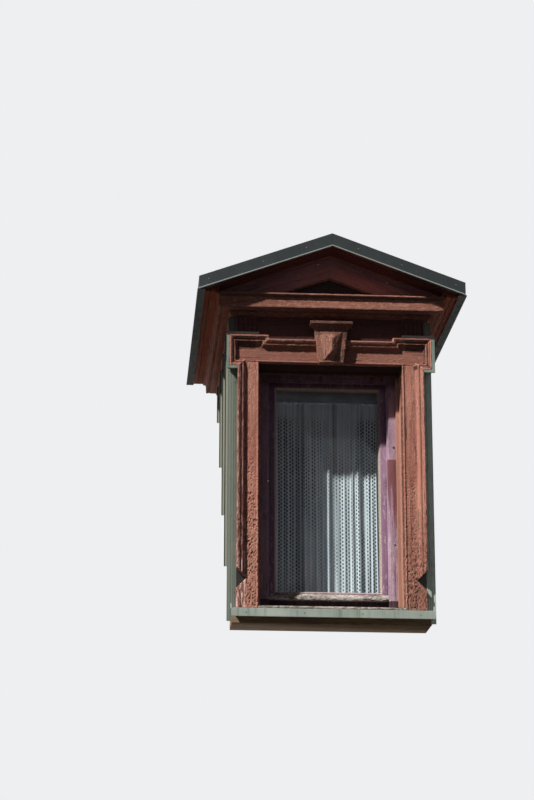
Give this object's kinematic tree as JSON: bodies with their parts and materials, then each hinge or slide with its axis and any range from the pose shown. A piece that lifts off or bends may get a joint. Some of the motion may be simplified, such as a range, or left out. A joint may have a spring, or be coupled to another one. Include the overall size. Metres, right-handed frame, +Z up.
{
  "type": "gabled dormer window",
  "caption": "Small gabled dormer window with an eared wooden architrave, keystone, frieze and cornice, one casement with a lace curtain, metal clad cheeks and a metal roof.",
  "frame": {"origin": "middle of the flat underside of the sill plate, which stands on the trimmer of the main roof", "axes": "+Z up, -Y towards the street, +Y into the roof, +X to the right as seen from the street"},
  "size_m": [1.438, 1.9574, 2.1146],
  "materials": {
    "timber": "sawn, grey brown",
    "painted_wood": "old red brown paint, pitted and chalky",
    "shaded_painted_wood": "old purple brown paint",
    "soffit_wood": "red brown paint on boards",
    "window_wood": "old purple paint",
    "bare_wood": "weathered, white paint left in the grain",
    "slate_metal": "satin coated sheet",
    "green_metal": "weathered grey green sheet",
    "glass": "clear",
    "rail": "pale blue grey paint",
    "lace": "white net lace"
  },
  "bodies": {
    "root": {"sill_plate": "timber", "post_left": "timber", "post_right": "timber", "head_beam": "timber", "sole_plates": "timber", "cheek_wall_left": "timber", "cheek_wall_right": "timber", "cheek_cladding_left": "green_metal", "cheek_cladding_right": "green_metal", "wall_plates": "timber", "gable_wall": "timber", "ridge_beam": "timber", "rafters": "timber", "roof_deck_left": "timber", "roof_deck_right": "timber", "roof_sheet_left": "slate_metal", "roof_sheet_right": "slate_metal", "verge_fascia_left": "slate_metal", "verge_fascia_right": "slate_metal", "eave_trim_left": "slate_metal", "eave_trim_right": "slate_metal", "eave_soffit_left": "soffit_wood", "eave_soffit_right": "soffit_wood", "verge_soffit": "soffit_wood", "raking_cornice_left": "shaded_painted_wood", "raking_cornice_right": "shaded_painted_wood", "tympanum": "shaded_painted_wood", "front_cornice": "painted_wood", "side_cornice_left": "shaded_painted_wood", "side_cornice_right": "shaded_painted_wood", "frieze": "shaded_painted_wood", "architrave_left": "painted_wood", "architrave_right": "painted_wood", "architrave_head": "painted_wood", "keystone": "painted_wood", "ear_flashing": "green_metal", "reveal_lining": "painted_wood", "sill_board": "bare_wood", "metal_sill": "green_metal", "window_frame": "window_wood", "sash": "window_wood", "glass": "glass", "weather_bar": "window_wood", "curtain_rail": "rail", "curtain": "lace"}
  },
  "joints": []
}
